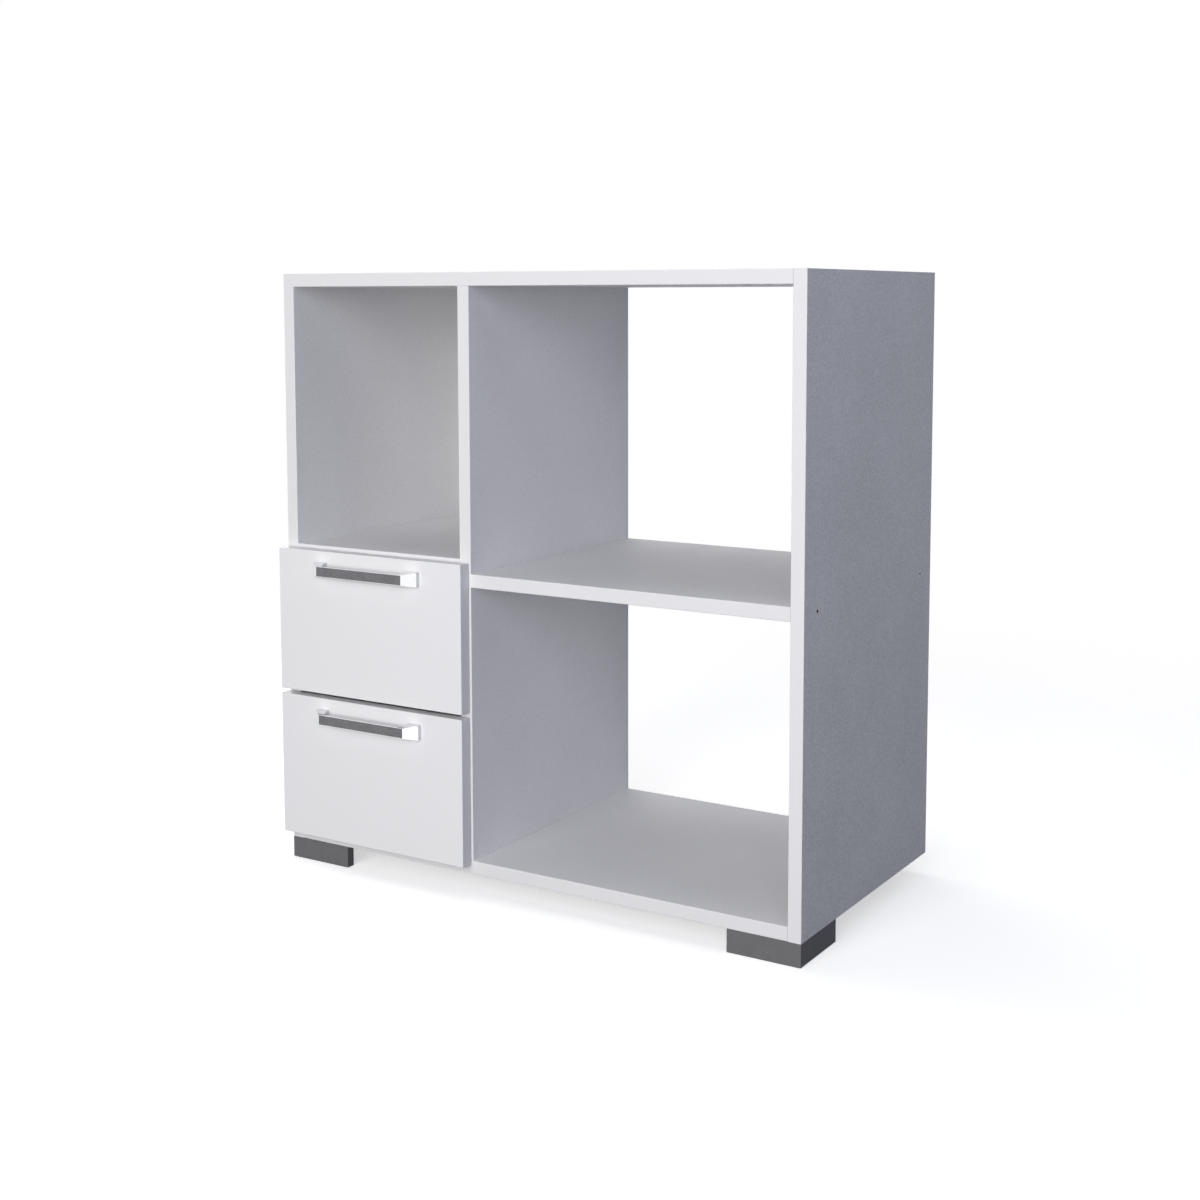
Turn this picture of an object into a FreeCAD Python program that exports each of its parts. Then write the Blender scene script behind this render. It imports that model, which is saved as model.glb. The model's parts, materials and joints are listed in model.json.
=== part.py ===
import FreeCAD, Part

import os
from collections import defaultdict

from FreeCAD import Vector

# All sizes are in millimetres. X runs to the right, Y from front to back, Z up.
# The origin lies on the floor, under the middle of the cabinet's bounding box.

# Carcass
cabinet_width = 800.0
carcass_height = 800.0
cabinet_depth = 400.0
board = 18.0
edge_round = 1.0
niche_width = 282.0
niche_floor = 424.0
oven_floor = 405.0

# Hardboard back of the left column
back_thickness = 3.0
back_set_in = 10.0
groove_depth = 8.0
groove_slack = 0.2

# Corner feet
foot_height = 30.0
foot_leg = 100.0
foot_thickness = 12.5
foot_edge = 0.8
foot_screw_room = 0.6
rear_foot_set_in = 50.0

# Drawer fronts
front_board = 18.0
front_height = 200.0
front_start = 13.0
front_gap = 6.5
front_reveal = 3.0
front_stand_off = 1.0

# Drawer boxes
box_board = 16.0
box_height = 140.0
box_lift = 22.0
bottom_thickness = 3.0
bottom_lift = 12.0
bottom_groove = 6.0

# Runners with rollers
runner_room = 12.5
runner_length = 350.0
runner_start = 3.0
runner_height = 28.0
runner_clearance = 1.0
sheet = 1.2
bend_round = 0.5
side_drop = 0.8
support_width = 13.0
roller_radius = 10.0
roller_width = 5.6
roller_end = 14.0
roller_gap = 0.25
roller_side_gap = 0.2
roller_tyre = 2.0
roller_hub_wall = 1.6
roller_recess = 0.8
roller_chamfer = 0.5
axle_radius = 2.5
axle_fit = 0.05
axle_head_radius = 3.8
axle_head = 0.9
screw_head_room = 0.4
drawer_travel = 250.0
stop_gap = 0.5
stop_height = 2.5
stop_length = 4.0
tab_height = 14.0

# Handles
handle_spacing = 160.0
handle_drop = 25.0
handle_projection = 19.0
handle_rake = 6.5
handle_bar_height = 13.8
handle_bar_depth = 6.0
handle_pad_length = 20.0
handle_pad_height = 20.0
handle_pad = 6.5
handle_pad_corner = 2.5
handle_pad_bevel = 0.8
handle_leg_end = 9.0
handle_inner_round = 2.5
handle_rim = 0.4
handle_thread = 6.0
handle_tap_room = 0.3
insert_thickness = 1.5

# Joints and fasteners
joint_inset = 37.0
hole_pitch = 32.0
fit = 0.1
cam_diameter = 15.0
cam_depth = 12.5
cam_setback = 34.0
cam_slot_length = 7.0
cam_slot_width = 1.2
cam_slot_depth = 2.0
cam_tip_room = 1.0
cam_bolt_bore = 8.0
cam_bolt_thread = 5.0
cam_bolt_depth = 11.0
cam_bolt_shank_room = 1.0
cam_bolt_head_room = 0.8
cam_bolt_neck_step = 1.0
cam_bolt_neck_lead = 1.0
cam_bolt_head_length = 3.5
cam_bolt_tip = 1.0
dowel_diameter = 8.0
dowel_length = 30.0
dowel_share = 11.0
dowel_slack = 0.5
connector_length = 50.0
connector_shank = 7.0
connector_thread = 5.0
connector_head = 10.0
connector_head_height = 1.0
socket = 4.0
socket_depth = 3.0
screw_diameter = 3.5
screw_head = 6.4
screw_head_height = 1.3
screw_bevel_width = 0.8
screw_bevel_height = 0.6
screw_length = 13.0
runner_screw_spacing = 192.0
foot_screw_reach = 12.0
foot_screw_cover = 12.0
handle_screw_diameter = 4.0
handle_screw_head = 8.0
handle_screw_head_height = 2.4

# Reference planes that several pieces share
X = Vector(1, 0, 0)
Y = Vector(0, 1, 0)
Z = Vector(0, 0, 1)

left_face = -cabinet_width / 2
right_face = cabinet_width / 2
front_depth = front_stand_off + front_board + handle_projection
front_plane = (front_depth - cabinet_depth) / 2
back_plane = front_plane + cabinet_depth
base = foot_height
crown = base + carcass_height
base_top = base + board
crown_bottom = crown - board

left_wall = left_face + board
partition_left = left_wall + niche_width
partition_right = partition_left + board
right_wall = right_face - board
column_middle = (left_wall + partition_left) / 2

niche_top = base + niche_floor
oven_top = base + oven_floor
back_rear = back_plane - back_set_in
back_front = back_rear - back_thickness
niche_rear = back_front - groove_slack

front_back_face = front_plane - front_stand_off
front_face = front_back_face - front_board
front_right = partition_right - front_reveal
front_middle = (left_face + front_right) / 2

box_depth = runner_length
box_left = left_wall + runner_room
box_right = partition_left - runner_room
slide_screw_x = box_left + box_board / 2
slide_screw_places = [front_plane + 2 * joint_inset, front_plane + box_depth - 2 * joint_inset]
runner_screw_front = front_plane + joint_inset + hole_pitch
runner_screw_places = [runner_screw_front, runner_screw_front + runner_screw_spacing]
handle_bar_length = handle_spacing - 2 * handle_rake

# Two places closer than this are the same place
closeness = 0.01

# Tools that cut a board and fittings that belong to one node are gathered by name
cuts = defaultdict(list)
fittings = defaultdict(list)
nodes = {}


def block(x0, x1, y0, y1, z0, z1):
    return Part.makeBox(x1 - x0, y1 - y0, z1 - z0, Vector(x0, y0, z0))


def rod(start, direction, radius, length):
    return Part.makeCylinder(radius, length, start, direction)


def turned(profile, start, direction):
    # Profile points are (radius, distance along the axis)
    points = [Vector(radius, 0, along) for radius, along in profile]
    face = Part.Face(Part.makePolygon(points + points[:1]))
    solid = face.revolve(Vector(0, 0, 0), Z, 360)
    solid.Placement = FreeCAD.Placement(start, FreeCAD.Rotation(Z, direction))
    return solid


def prism(points, sweep):
    return Part.Face(Part.makePolygon(points + points[:1])).extrude(sweep)


def along(edge, axis):
    line = edge.Vertexes[-1].Point - edge.Vertexes[0].Point
    return line.Length > closeness and line.cross(axis).Length < closeness


def near(one, other):
    return abs(one - other) < closeness


def rounded_front(panel, axis):
    # The two long edges of the banded front edge are rounded
    low = panel.BoundBox.YMin
    edges = [e for e in panel.Edges if along(e, axis) and near(e.BoundBox.YMax, low)]
    return panel.makeFillet(edge_round, edges)


def mirrored(shape):
    # The right hand of the drawer column mirrors the left hand
    return shape.mirror(Vector(column_middle, 0, 0), X)


def cam(face_point, into, face, bolt_level):
    body = rod(face_point, face * -1, cam_diameter / 2 - fit, cam_depth - fit)
    centre = face_point - face * bolt_level
    pocket_length = cam_diameter + cam_bolt_tip + cam_tip_room
    pocket = rod(centre - into * cam_diameter, into, cam_bolt_bore / 2, pocket_length)
    across = into.cross(face)
    recess = []
    for one, other in ((into, across), (across, into)):
        long_side = one * cam_slot_length
        short_side = other * cam_slot_width
        corner = face_point - long_side / 2 - short_side / 2
        outline = [corner, corner + long_side, corner + long_side + short_side, corner + short_side]
        recess.append(prism(outline, face * -cam_slot_depth))
    return body.cut([pocket] + recess)


def cam_bolt(point, into):
    thread = cam_bolt_thread / 2 - fit
    shank = cam_bolt_bore / 2 - cam_bolt_shank_room
    neck = shank - cam_bolt_neck_step
    head = cam_bolt_bore / 2 - cam_bolt_head_room
    neck_start = cam_setback - cam_diameter / 2 - cam_bolt_neck_lead
    head_end = cam_setback + cam_bolt_tip
    head_start = head_end - cam_bolt_head_length
    profile = [
        (0, fit - cam_bolt_depth),
        (thread, fit - cam_bolt_depth),
        (thread, 0),
        (shank, 0),
        (shank, neck_start),
        (neck, neck_start),
        (neck, head_start),
        (head, head_start),
        (head, head_end),
        (0, head_end),
    ]
    return turned(profile, point, into)


def cam_joint(mate, member, point, into, face, thickness, cam_node, bolt_node):
    # A bolt in the mate's face is pulled by a cam let into the member's face
    cuts[mate].append(rod(point, into * -1, cam_bolt_thread / 2, cam_bolt_depth))
    cuts[member].append(rod(point, into, cam_bolt_bore / 2, cam_setback))
    face_point = point + into * cam_setback + face * (thickness / 2)
    cuts[member].append(rod(face_point, face * -1, cam_diameter / 2, cam_depth))
    fittings[cam_node].append(cam(face_point, into, face, thickness / 2))
    fittings[bolt_node].append(cam_bolt(point, into))


def dowel_joint(mate, member, point, into, dowel_node):
    radius = dowel_diameter / 2
    hole = radius + fit
    rest = dowel_length - dowel_share
    cuts[mate].append(rod(point, into * -1, hole, dowel_share + dowel_slack))
    cuts[member].append(rod(point, into, hole, rest + dowel_slack))
    fittings[dowel_node].append(rod(point - into * dowel_share, into, radius, dowel_length))


def connector_profile(grow):
    head = connector_head / 2 + grow
    shank = connector_shank / 2 + grow
    thread = connector_thread / 2 + grow
    return [
        (0, 0),
        (head, 0),
        (head, connector_head_height),
        (shank, connector_head_height + head - shank),
        (shank, board),
        (thread, board),
        (thread, connector_length + grow),
        (0, connector_length + grow),
    ]


def connector_joint(mate, member, face_point, into, screw_node):
    # One-piece connecting screw through the mate into the member's end
    hole = turned(connector_profile(fit), face_point, into)
    cuts[mate].append(hole)
    cuts[member].append(hole)
    screw = turned(connector_profile(0), face_point, into)
    spoke = into.cross(Y) * (socket / 3**0.5)
    key = []
    for turn in range(0, 360, 60):
        key.append(face_point + FreeCAD.Rotation(into, turn).multVec(spoke))
    fittings[screw_node].append(screw.cut(prism(key, into * socket_depth)))


def pan_screw(point, into, diameter, length, head, head_height):
    profile = [
        (0, -head_height),
        (head / 2 - screw_bevel_width, -head_height),
        (head / 2, screw_bevel_height - head_height),
        (head / 2, 0),
        (diameter / 2, 0),
        (diameter / 2, length),
        (0, length),
    ]
    return turned(profile, point, into)


def wood_screw(member, point, into, skin, reach, screw_node):
    # The head bears on the skin; the thread sits in a pilot hole in the member
    solid = pan_screw(point, into, screw_diameter, skin + reach, screw_head, screw_head_height)
    fittings[screw_node].append(solid)
    pilot = screw_diameter / 2 + fit
    cuts[member].append(rod(point + into * skin, into, pilot, reach + fit))


# Carcass boards
boards = {
    "left_side_panel": rounded_front(
        block(left_face, left_wall, front_plane, back_plane, base, crown), Z
    ),
    "right_side_panel": rounded_front(
        block(right_wall, right_face, front_plane, back_plane, base, crown), Z
    ),
    "top_panel": rounded_front(
        block(left_wall, right_wall, front_plane, back_plane, crown_bottom, crown), X
    ),
    "bottom_panel": rounded_front(
        block(left_wall, right_wall, front_plane, back_plane, base, base_top), X
    ),
    "partition_panel": rounded_front(
        block(partition_left, partition_right, front_plane, back_plane, base_top, crown_bottom), Z
    ),
    "niche_shelf": rounded_front(
        block(left_wall, partition_left, front_plane, niche_rear, niche_top - board, niche_top), X
    ),
    "oven_shelf": rounded_front(
        block(partition_right, right_wall, front_plane, back_plane, oven_top - board, oven_top), X
    ),
}

# The hardboard back slides in one run of grooves around the left column
reach = groove_depth - 2 * groove_slack
nodes["back_panel"] = block(
    left_wall - reach, partition_left + reach, back_front, back_rear,
    base_top - reach, crown_bottom + reach,
)
groove = block(
    left_wall - groove_depth, partition_left + groove_depth,
    back_front - groove_slack, back_rear + groove_slack,
    base_top - groove_depth, crown_bottom + groove_depth,
)
for name in ("left_side_panel", "partition_panel", "top_panel", "bottom_panel"):
    cuts[name].append(groove)

# Top and bottom hang between the sides on cams and dowels
front_joint = front_plane + joint_inset
back_joint = back_plane - joint_inset
for member, level, face in (
    ("top_panel", crown - board / 2, Z * -1),
    ("bottom_panel", base + board / 2, Z * -1),
):
    for mate, end, into in (
        ("left_side_panel", left_wall, X),
        ("right_side_panel", right_wall, X * -1),
    ):
        for joint, step in ((front_joint, hole_pitch), (back_joint, -hole_pitch)):
            point = Vector(end, joint, level)
            cam_joint(mate, member, point, into, face, board, "cam_locks", "cam_bolts")
            dowel_joint(mate, member, point + Y * step, into, "wooden_dowels")

# The partition is pulled to the top by cams and screwed from below
partition_middle = (partition_left + partition_right) / 2
for joint, step in ((front_joint, hole_pitch), (back_joint, -hole_pitch)):
    high = Vector(partition_middle, joint, crown_bottom)
    low = Vector(partition_middle, joint, base_top)
    cam_joint(
        "top_panel", "partition_panel", high, Z * -1, X * -1, board, "cam_locks", "cam_bolts"
    )
    dowel_joint("top_panel", "partition_panel", high + Y * step, Z * -1, "wooden_dowels")
    connector_joint(
        "bottom_panel", "partition_panel", low - Z * board, Z, "connecting_screws"
    )
    dowel_joint("bottom_panel", "partition_panel", low + Y * step, Z, "wooden_dowels")

# The niche shelf hangs on cams; its holes are staggered from those of the oven shelf
stagger = joint_inset + hole_pitch / 2
for mate, end, into in (
    ("left_side_panel", left_wall, X),
    ("partition_panel", partition_left, X * -1),
):
    for joint, step in (
        (front_plane + stagger, hole_pitch),
        (niche_rear - stagger, -hole_pitch),
    ):
        point = Vector(end, joint, niche_top - board / 2)
        cam_joint(mate, "niche_shelf", point, into, Z * -1, board, "cam_locks", "cam_bolts")
        dowel_joint(mate, "niche_shelf", point + Y * step, into, "wooden_dowels")

# The oven shelf carries the load on connecting screws through the boards beside it
for mate, end, into in (
    ("partition_panel", partition_right, X),
    ("right_side_panel", right_wall, X * -1),
):
    for joint, step in ((front_joint, hole_pitch), (back_joint, -hole_pitch)):
        point = Vector(end, joint, oven_top - board / 2)
        connector_joint(mate, "oven_shelf", point - into * board, into, "connecting_screws")
        dowel_joint(mate, "oven_shelf", point + Y * step, into, "wooden_dowels")


def corner_foot(corner_x, corner_y, to_middle, to_centre):
    outline = []
    for along_x, along_y in (
        (0, 0),
        (foot_leg, 0),
        (foot_leg, foot_thickness),
        (foot_thickness, foot_thickness),
        (foot_thickness, foot_leg),
        (0, foot_leg),
    ):
        outline.append(Vector(corner_x + to_middle * along_x, corner_y + to_centre * along_y, 0))
    foot = prism(outline, Z * foot_height)
    floor_edges = [e for e in foot.Edges if near(e.BoundBox.ZMax, 0)]
    return foot.makeChamfer(foot_edge, floor_edges)


def fix_foot(foot, member, x, y):
    # Countersunk deep from below, so that the head stays off the floor
    seat = foot_height - foot_screw_cover
    below = rod(Vector(x, y, 0), Z, screw_head / 2 + foot_screw_room, seat)
    through = rod(Vector(x, y, 0), Z, screw_diameter / 2 + fit, foot_height)
    wood_screw(member, Vector(x, y, seat), Z, foot_screw_cover, foot_screw_reach, "foot_screws")
    return foot.cut([below, through])


# The foot screw in the side board passes between that board's bolt and dowel holes
arm_middle = foot_thickness / 2
arm_far = joint_inset + hole_pitch / 2
for name, corner_x, to_middle, side in (
    ("left", left_face, 1, "left_side_panel"),
    ("right", right_face, -1, "right_side_panel"),
):
    front_foot = corner_foot(corner_x, front_plane, to_middle, 1)
    front_foot = fix_foot(
        front_foot, side, corner_x + to_middle * arm_middle, front_plane + arm_far
    )
    front_foot = fix_foot(
        front_foot, "bottom_panel", corner_x + to_middle * (foot_leg - arm_middle),
        front_plane + arm_middle,
    )
    nodes["foot_front_" + name] = front_foot
    rear_x = corner_x + to_middle * rear_foot_set_in
    rear_y = back_plane - rear_foot_set_in
    rear_foot = corner_foot(rear_x, rear_y, to_middle, -1)
    rear_foot = fix_foot(
        rear_foot, "bottom_panel", rear_x + to_middle * arm_middle, rear_y - foot_leg + arm_middle
    )
    rear_foot = fix_foot(
        rear_foot, "bottom_panel", rear_x + to_middle * (foot_leg - arm_middle), rear_y - arm_middle
    )
    nodes["foot_rear_" + name] = rear_foot

# Depth of each runner piece, counted from the wall of the column towards the drawer
drawer_web = runner_room - sheet
flange_edge = drawer_web - runner_clearance
rear_head_start = sheet + screw_head_height + screw_head_room
rear_roller_start = rear_head_start + axle_head + roller_side_gap
rear_roller_end = rear_roller_start + roller_width
front_head_start = flange_edge - axle_head
front_roller_end = front_head_start - roller_side_gap
front_roller_start = front_roller_end - roller_width

# Heights inside the runner, counted from its underside
rear_roller_level = sheet + roller_gap + roller_radius
roof_bottom = runner_height - sheet
track_level = (sheet + roof_bottom) / 2 + roller_radius - sheet
front_roller_level = track_level - roller_gap - roller_radius

# Positions along the runner
runner_front = front_plane + runner_start
runner_back = runner_front + runner_length
slide_front = front_back_face
slide_back = front_back_face + box_depth
front_roller_y = runner_front + roller_end
rear_roller_y = slide_back - roller_end


def folded(outline, start, length, bends):
    # Sheet section in X and Z, swept along Y, with its bends rounded
    points = [Vector(x, start, z) for x, z in outline]
    shape = prism(points, Y * length)
    edges = []
    for x, z in bends:
        for edge in shape.Edges:
            box = edge.BoundBox
            if along(edge, Y) and near(box.XMin, x) and near(box.ZMin, z):
                edges.append(edge)
    return shape.makeFillet(bend_round, edges)


def axle(start_x, level, y, towards, shoulder, head_at):
    # Rivet with a shoulder at the sheet and a head that keeps the roller on
    profile = [
        (0, 0),
        (axle_head_radius, 0),
        (axle_head_radius, shoulder),
        (axle_radius, shoulder),
        (axle_radius, head_at),
        (axle_head_radius, head_at),
        (axle_head_radius, head_at + axle_head),
        (0, head_at + axle_head),
    ]
    return turned(profile, Vector(start_x, y, level), X * towards)


def roller(start_x, level, y):
    bore = axle_radius + axle_fit
    rim = roller_radius - roller_tyre
    hub = axle_radius + roller_hub_wall
    one_side = [
        (bore, 0),
        (hub, 0),
        (hub, roller_recess),
        (rim, roller_recess),
        (rim, 0),
        (roller_radius - roller_chamfer, 0),
        (roller_radius, roller_chamfer),
    ]
    profile = one_side + [(radius, roller_width - across) for radius, across in reversed(one_side)]
    return turned(profile, Vector(start_x, y, level), X)


def cabinet_runner(floor):
    wall = left_wall
    low = floor
    high = floor + runner_height
    outline = [
        (wall, low),
        (wall + flange_edge, low),
        (wall + flange_edge, low + sheet),
        (wall + sheet, low + sheet),
        (wall + sheet, high - sheet),
        (wall + flange_edge, high - sheet),
        (wall + flange_edge, high),
        (wall, high),
    ]
    bends = [
        (wall, low),
        (wall + sheet, low + sheet),
        (wall + sheet, high - sheet),
        (wall, high),
    ]
    channel = folded(outline, runner_front, runner_length, bends)
    # The rear roller meets the stop when the drawer is fully out, the tab when it is in
    lift = rear_roller_level - sheet - stop_height
    contact = (roller_radius**2 - lift**2) ** 0.5
    stop_back = rear_roller_y - drawer_travel - contact - stop_gap
    stop = block(
        wall + sheet, wall + flange_edge, stop_back - stop_length, stop_back,
        low + sheet, low + sheet + stop_height,
    )
    tab = block(
        wall + sheet, wall + flange_edge, runner_back - sheet, runner_back,
        low + sheet, low + tab_height,
    )
    channel = channel.fuse([stop, tab]).removeSplitter()
    holes = []
    for hole_y in runner_screw_places:
        hole = rod(
            Vector(wall, hole_y, low + runner_height / 2), X, screw_diameter / 2 + fit, sheet
        )
        holes.append(hole)
    rivet = axle(
        wall + sheet, low + front_roller_level, front_roller_y, 1,
        front_roller_start - roller_side_gap - sheet, front_head_start - sheet,
    )
    return Part.makeCompound([channel.cut(holes), rivet])


def drawer_slide(floor):
    web = left_wall + drawer_web
    seat = floor - side_drop
    top = floor + track_level + sheet
    track_edge = left_wall + rear_roller_start
    support_edge = left_wall + runner_room + support_width
    outline = [
        (web, seat - sheet),
        (support_edge, seat - sheet),
        (support_edge, seat),
        (web + sheet, seat),
        (web + sheet, top),
        (track_edge, top),
        (track_edge, top - sheet),
        (web, top - sheet),
    ]
    bends = [(web, seat - sheet), (web + sheet, top), (web, top - sheet)]
    profile = folded(outline, slide_front, box_depth, bends)
    holes = []
    for hole_y in slide_screw_places:
        start = Vector(slide_screw_x, hole_y, seat - sheet)
        holes.append(rod(start, Z, screw_diameter / 2 + fit, sheet))
    rivet = axle(
        web, floor + rear_roller_level, rear_roller_y, -1,
        drawer_web - rear_roller_end - roller_side_gap,
        drawer_web - rear_roller_start + roller_side_gap,
    )
    return Part.makeCompound([profile.cut(holes), rivet])


def frame(x0, x1, y, z0, z1):
    corners = [Vector(x0, y, z0), Vector(x1, y, z0), Vector(x1, y, z1), Vector(x0, y, z1)]
    return Part.makePolygon(corners + corners[:1])


def handle_casting(face, middle):
    # Each leg flares from the end of the bar to a pad that is bevelled where it meets the front
    screw_x = front_middle + handle_spacing / 2
    pad_inner = screw_x - handle_pad_length / 2
    pad_outer = screw_x + handle_pad_length / 2
    pad_low = middle - handle_pad_height / 2
    pad_high = middle + handle_pad_height / 2
    bar_end = front_middle + handle_bar_length / 2
    bar_low = middle - handle_bar_height / 2
    bar_high = middle + handle_bar_height / 2
    bar_front = face - handle_projection
    bar_back = bar_front + handle_bar_depth
    inset = handle_pad_bevel
    leg = Part.makeLoft(
        [
            frame(pad_inner + inset, pad_outer - inset, face, pad_low + inset, pad_high - inset),
            frame(pad_inner, pad_outer, face - inset, pad_low, pad_high),
            frame(pad_inner, pad_outer, face - handle_pad, pad_low, pad_high),
            frame(bar_end - handle_leg_end, bar_end, bar_front, bar_low, bar_high),
        ],
        True,
        True,
    )
    bar = block(2 * front_middle - bar_end, bar_end, bar_front, bar_back, bar_low, bar_high)
    other_leg = leg.mirror(Vector(front_middle, 0, 0), X)
    casting = bar.fuse([leg, other_leg]).removeSplitter()
    inner_edges = []
    for edge in casting.Edges:
        if along(edge, Z) and near(edge.BoundBox.YMin, bar_back):
            inner_edges.append(edge)
    casting = casting.makeFillet(handle_inner_round, inner_edges)

    # Seen from the front, the outer corners of both pads are round
    outline = block(2 * front_middle - pad_outer, pad_outer, bar_front, face, pad_low, pad_high)
    corner_edges = [e for e in outline.Edges if along(e, Y)]
    outline = outline.makeFillet(handle_pad_corner, corner_edges)
    return casting.common(outline).removeSplitter()


def drawer(level, name):
    floor = base + front_start + level * (front_height + front_gap)
    seat = floor + box_lift
    top = seat + box_height
    runner_floor = seat + side_drop
    front_name = name + "_drawer_front"
    left_name = name + "_drawer_left_side"
    right_name = name + "_drawer_right_side"
    back_name = name + "_drawer_back"
    box_back = front_back_face + box_depth

    front = block(
        left_face, front_right, front_face, front_back_face, floor, floor + front_height
    )
    front = front.makeFillet(edge_round, front.Edges)
    boards[front_name] = front
    boards[left_name] = block(
        box_left, box_left + box_board, front_back_face, box_back, seat, top
    )
    boards[right_name] = block(
        box_right - box_board, box_right, front_back_face, box_back, seat, top
    )

    # The bottom slides in grooves in the front and sides, under the back
    inner_left = box_left + box_board
    inner_right = box_right - box_board
    sheet_low = seat + bottom_lift
    sheet_high = sheet_low + bottom_thickness
    into = bottom_groove - 2 * groove_slack
    nodes[name + "_drawer_bottom"] = block(
        inner_left - into, inner_right + into, front_back_face - into, box_back,
        sheet_low, sheet_high,
    )
    slot = block(
        inner_left - bottom_groove, inner_right + bottom_groove,
        front_back_face - bottom_groove, box_back,
        sheet_low - groove_slack, sheet_high,
    )
    for board_name in (front_name, left_name, right_name):
        cuts[board_name].append(slot)
    boards[back_name] = block(
        inner_left, inner_right, box_back - box_board, box_back, sheet_high, top
    )

    # Each side is joined to the front by a cam above a dowel, to the back by two screws
    for side_name, middle, outward in (
        (left_name, box_left + box_board / 2, X * -1),
        (right_name, box_right - box_board / 2, X),
    ):
        high = Vector(middle, front_back_face, top - joint_inset)
        cam_joint(
            front_name, side_name, high, Y, outward, box_board,
            name + "_drawer_cam_fittings", name + "_drawer_cam_fittings",
        )
        low = high - Z * hole_pitch
        dowel_joint(front_name, side_name, low, Y, name + "_drawer_dowels")
        for screw_z in (top - joint_inset, top - joint_inset - 2 * hole_pitch):
            point = Vector(middle, box_back - box_board / 2, screw_z) + outward * (box_board / 2)
            through = rod(point, outward * -1, screw_diameter / 2 + fit, box_board)
            cuts[side_name].append(through)
            wood_screw(
                back_name, point, outward * -1, box_board, 2 * screw_length,
                name + "_drawer_box_screws",
            )

    # Runner pairs, left hand first and mirrored to the right
    left_runner = cabinet_runner(runner_floor)
    nodes[name + "_left_runner"] = left_runner
    nodes[name + "_right_runner"] = mirrored(left_runner)
    left_slide = drawer_slide(runner_floor)
    nodes[name + "_drawer_left_slide"] = left_slide
    nodes[name + "_drawer_right_slide"] = mirrored(left_slide)
    front_roller = roller(
        left_wall + front_roller_start, runner_floor + front_roller_level, front_roller_y
    )
    nodes[name + "_left_front_roller"] = front_roller
    nodes[name + "_right_front_roller"] = mirrored(front_roller)
    rear_roller = roller(
        left_wall + rear_roller_start, runner_floor + rear_roller_level, rear_roller_y
    )
    nodes[name + "_left_rear_roller"] = rear_roller
    nodes[name + "_right_rear_roller"] = mirrored(rear_roller)

    for member, wall, inward in (
        ("left_side_panel", left_wall, 1),
        ("partition_panel", partition_left, -1),
    ):
        for hole_y in runner_screw_places:
            head = Vector(wall + inward * sheet, hole_y, runner_floor + runner_height / 2)
            wood_screw(member, head, X * -inward, sheet, screw_length, "runner_screws")
    for member, place in (
        (left_name, slide_screw_x),
        (right_name, 2 * column_middle - slide_screw_x),
    ):
        for hole_y in slide_screw_places:
            head = Vector(place, hole_y, seat - sheet)
            wood_screw(member, head, Z, sheet, screw_length, name + "_drawer_slide_screws")

    # Handle casting with its insert and the two screws that hold it from inside
    handle_level = floor + front_height - handle_drop
    casting = handle_casting(front_face, handle_level)
    half = handle_bar_length / 2 - handle_rim
    tall = handle_bar_height / 2 - handle_rim
    outer = front_face - handle_projection
    pocket = block(
        front_middle - half, front_middle + half, outer, outer + insert_thickness,
        handle_level - tall, handle_level + tall,
    )
    nodes[name + "_handle_insert"] = block(
        front_middle - half + fit, front_middle + half - fit,
        outer, outer + insert_thickness, handle_level - tall + fit, handle_level + tall - fit,
    )
    taps = [pocket]
    tap_depth = handle_thread + handle_tap_room
    radius = handle_screw_diameter / 2
    for side in (-1, 1):
        screw_x = front_middle + side * handle_spacing / 2
        inside = Vector(screw_x, front_back_face, handle_level)
        cuts[front_name].append(rod(inside, Y * -1, radius + 2 * fit, front_board))
        taps.append(
            rod(Vector(screw_x, front_face, handle_level), Y * -1, radius + fit, tap_depth)
        )
        fittings[name + "_handle_screws"].append(
            pan_screw(
                inside, Y * -1, handle_screw_diameter, front_board + handle_thread,
                handle_screw_head, handle_screw_head_height,
            )
        )
    nodes[name + "_handle"] = casting.cut(taps)


drawer(0, "lower")
drawer(1, "upper")

# Boards are bored last, then every node is written out
for name, panel in boards.items():
    nodes[name] = panel.cut(cuts[name])
for name, solids in fittings.items():
    nodes[name] = Part.makeCompound(solids)

os.makedirs("parts", exist_ok=True)
for name, shape in nodes.items():
    shape.exportStep("parts/" + name + ".step")
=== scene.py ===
"""Looks of the kitchen cabinet.

Gives every CAD node a procedural finish, makes the pan-head screws with their threads and the
dowels with their flutes, and sets up the floor, the light and the camera."""

import json
import math

import bmesh
import bpy
from mathutils import Matrix, Vector


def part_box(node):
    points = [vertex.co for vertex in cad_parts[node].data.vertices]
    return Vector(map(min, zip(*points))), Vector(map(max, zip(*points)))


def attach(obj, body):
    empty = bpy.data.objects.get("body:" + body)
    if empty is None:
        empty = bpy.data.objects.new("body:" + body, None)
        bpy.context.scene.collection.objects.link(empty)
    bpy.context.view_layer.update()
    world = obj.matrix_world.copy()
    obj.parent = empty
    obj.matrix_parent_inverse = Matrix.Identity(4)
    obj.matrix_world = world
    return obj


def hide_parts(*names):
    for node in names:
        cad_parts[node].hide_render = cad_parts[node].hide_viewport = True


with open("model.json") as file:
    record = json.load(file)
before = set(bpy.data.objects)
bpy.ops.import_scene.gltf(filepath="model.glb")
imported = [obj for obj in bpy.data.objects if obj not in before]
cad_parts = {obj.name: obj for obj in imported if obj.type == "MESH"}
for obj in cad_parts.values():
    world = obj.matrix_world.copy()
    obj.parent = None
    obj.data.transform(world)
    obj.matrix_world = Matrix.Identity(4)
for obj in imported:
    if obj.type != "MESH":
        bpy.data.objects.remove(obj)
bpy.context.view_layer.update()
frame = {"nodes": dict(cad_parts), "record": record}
nodes = frame["nodes"]
record = frame["record"]
slot_of = {part["node"]: part["material_slot"] for part in record["subparts"]}
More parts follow.
